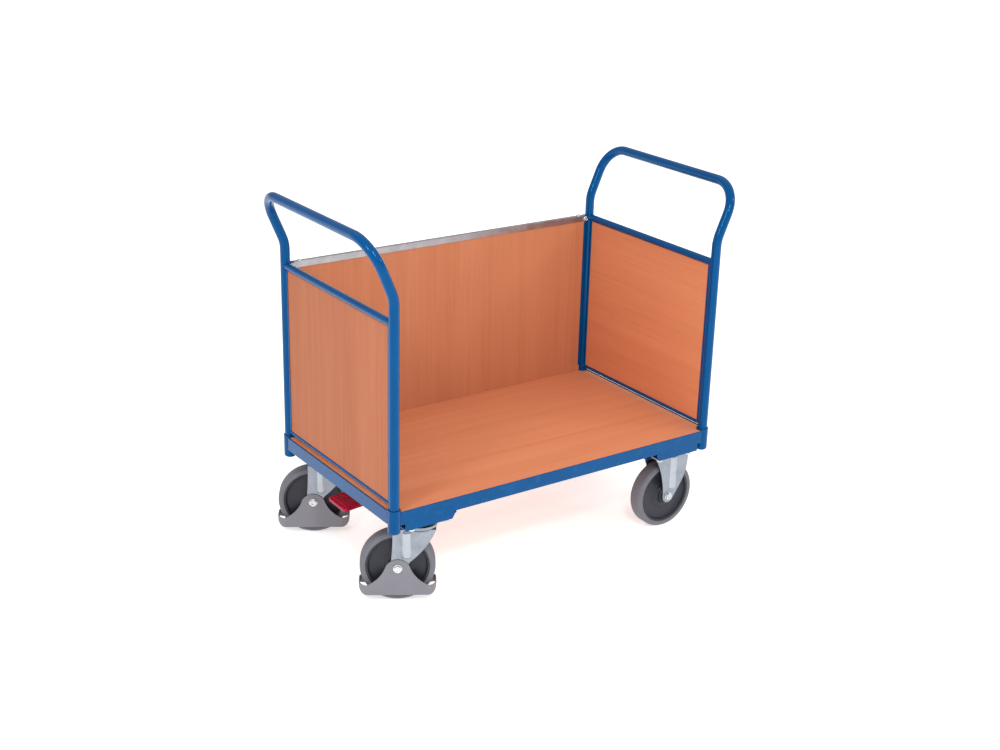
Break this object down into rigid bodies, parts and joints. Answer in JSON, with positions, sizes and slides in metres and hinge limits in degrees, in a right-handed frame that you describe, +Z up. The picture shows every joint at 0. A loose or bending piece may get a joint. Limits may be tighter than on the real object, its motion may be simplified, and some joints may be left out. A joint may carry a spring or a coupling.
{
  "type": "platform trolley",
  "caption": "Push trolley with a board deck, two board ends with push hoops, a board back wall, swivel and fixed castors and a central brake pedal.",
  "frame": {"origin": "on the floor, in the middle of the whole footprint at rest; the middle of the platform is 18 mm nearer the open side", "axes": "+X along the trolley from the swivel castors and the brake pedal to the fixed castors; +Y across it from the open side to the back wall; +Z up"},
  "size_m": [1.1914, 0.6426, 1.0239],
  "materials": {
    "blue_steel": "gloss powder coat",
    "deck_wood": "beech decor board",
    "wall_wood": "beech decor board",
    "zinc_steel": "zinc plated",
    "bare_steel": "galvanised strip",
    "black_steel": "black satin",
    "grey_tyre": "non-marking rubber",
    "dark_rim": "moulded",
    "grey_guard": "moulded",
    "red_pedal": "moulded",
    "bearing_steel": "ground"
  },
  "bodies": {
    "trolley": {"back_end_channels": "blue_steel", "back_fixed_fork": "zinc_steel", "back_left_castor_bracket": "blue_steel", "back_left_socket": "blue_steel", "back_panel": "wall_wood", "back_rail": "blue_steel", "back_right_castor_bracket": "blue_steel", "back_right_socket": "blue_steel", "back_swivel_plate": "zinc_steel", "back_top_rail": "bare_steel", "back_wall_screws": "zinc_steel", "castor_bolts": "zinc_steel", "castor_nuts": "zinc_steel", "deck_board": "deck_wood", "fixed_axles": "zinc_steel", "front_fixed_fork": "zinc_steel", "front_left_castor_bracket": "blue_steel", "front_left_socket": "blue_steel", "front_rail": "blue_steel", "front_right_castor_bracket": "blue_steel", "front_right_socket": "blue_steel", "front_swivel_plate": "zinc_steel", "kingpins": "zinc_steel", "left_beam": "blue_steel", "left_bottom_bar": "blue_steel", "left_hoop": "blue_steel", "left_panel": "wall_wood", "left_rail": "blue_steel", "left_top_bar": "blue_steel", "panel_channels": "blue_steel", "right_beam": "blue_steel", "right_bottom_bar": "blue_steel", "right_hoop": "blue_steel", "right_panel": "wall_wood", "right_rail": "blue_steel", "right_top_bar": "blue_steel", "swivel_balls": "bearing_steel"},
    "brake": {"brake_pedal": "red_pedal", "brake_lever": "black_steel", "brake_shaft": "zinc_steel"},
    "front_swivel": {"front_swivel_fork": "zinc_steel", "front_swivel_guard": "grey_guard", "front_swivel_axle": "zinc_steel"},
    "front_swivel_wheel": {"front_swivel_tyre": "grey_tyre", "front_swivel_rim": "dark_rim", "front_swivel_bearings": "bearing_steel"},
    "front_plunger": {"front_swivel_brake_plunger": "black_steel"},
    "front_fixed_wheel": {"front_fixed_tyre": "grey_tyre", "front_fixed_rim": "dark_rim", "front_fixed_bearings": "bearing_steel"},
    "back_swivel": {"back_swivel_fork": "zinc_steel", "back_swivel_guard": "grey_guard", "back_swivel_axle": "zinc_steel"},
    "back_swivel_wheel": {"back_swivel_tyre": "grey_tyre", "back_swivel_rim": "dark_rim", "back_swivel_bearings": "bearing_steel"},
    "back_plunger": {"back_swivel_brake_plunger": "black_steel"},
    "back_fixed_wheel": {"back_fixed_tyre": "grey_tyre", "back_fixed_rim": "dark_rim", "back_fixed_bearings": "bearing_steel"}
  },
  "joints": [
    {"name": "brake_pedal_press", "type": "hinge", "parent": "trolley", "child": "brake", "pos_m": [-0.38, -0.01792, 0.262], "axis": [0, -1, 0], "range_deg": [0, 10]},
    {"name": "front_swivel_turn", "type": "hinge", "parent": "trolley", "child": "front_swivel", "pos_m": [-0.41, -0.25192, 0.226], "axis": [0, 0, 1], "continuous": true},
    {"name": "front_swivel_roll", "type": "hinge", "parent": "front_swivel", "child": "front_swivel_wheel", "pos_m": [-0.45929, -0.2223, 0.1], "axis": [0.515, 0.8572, 0], "continuous": true},
    {"name": "front_plunger_drop", "type": "slide", "parent": "front_swivel", "child": "front_plunger", "axis": [0, 0, -1], "range_m": [0, 0.006]},
    {"name": "front_fixed_roll", "type": "hinge", "parent": "trolley", "child": "front_fixed_wheel", "pos_m": [0.421, -0.25192, 0.1], "axis": [0, 1, 0], "continuous": true},
    {"name": "back_swivel_turn", "type": "hinge", "parent": "trolley", "child": "back_swivel", "pos_m": [-0.41, 0.21608, 0.226], "axis": [0, 0, 1], "continuous": true},
    {"name": "back_swivel_roll", "type": "hinge", "parent": "back_swivel", "child": "back_swivel_wheel", "pos_m": [-0.45929, 0.2457, 0.1], "axis": [0.515, 0.8572, 0], "continuous": true},
    {"name": "back_plunger_drop", "type": "slide", "parent": "back_swivel", "child": "back_plunger", "axis": [0, 0, -1], "range_m": [0, 0.006]},
    {"name": "back_fixed_roll", "type": "hinge", "parent": "trolley", "child": "back_fixed_wheel", "pos_m": [0.421, 0.21608, 0.1], "axis": [0, 1, 0], "continuous": true}
  ],
  "couplings": [
    {"joint": "front_plunger_drop", "follows": "brake_pedal_press", "m_per_rad": 0.034375},
    {"joint": "back_plunger_drop", "follows": "brake_pedal_press", "m_per_rad": 0.034375}
  ]
}
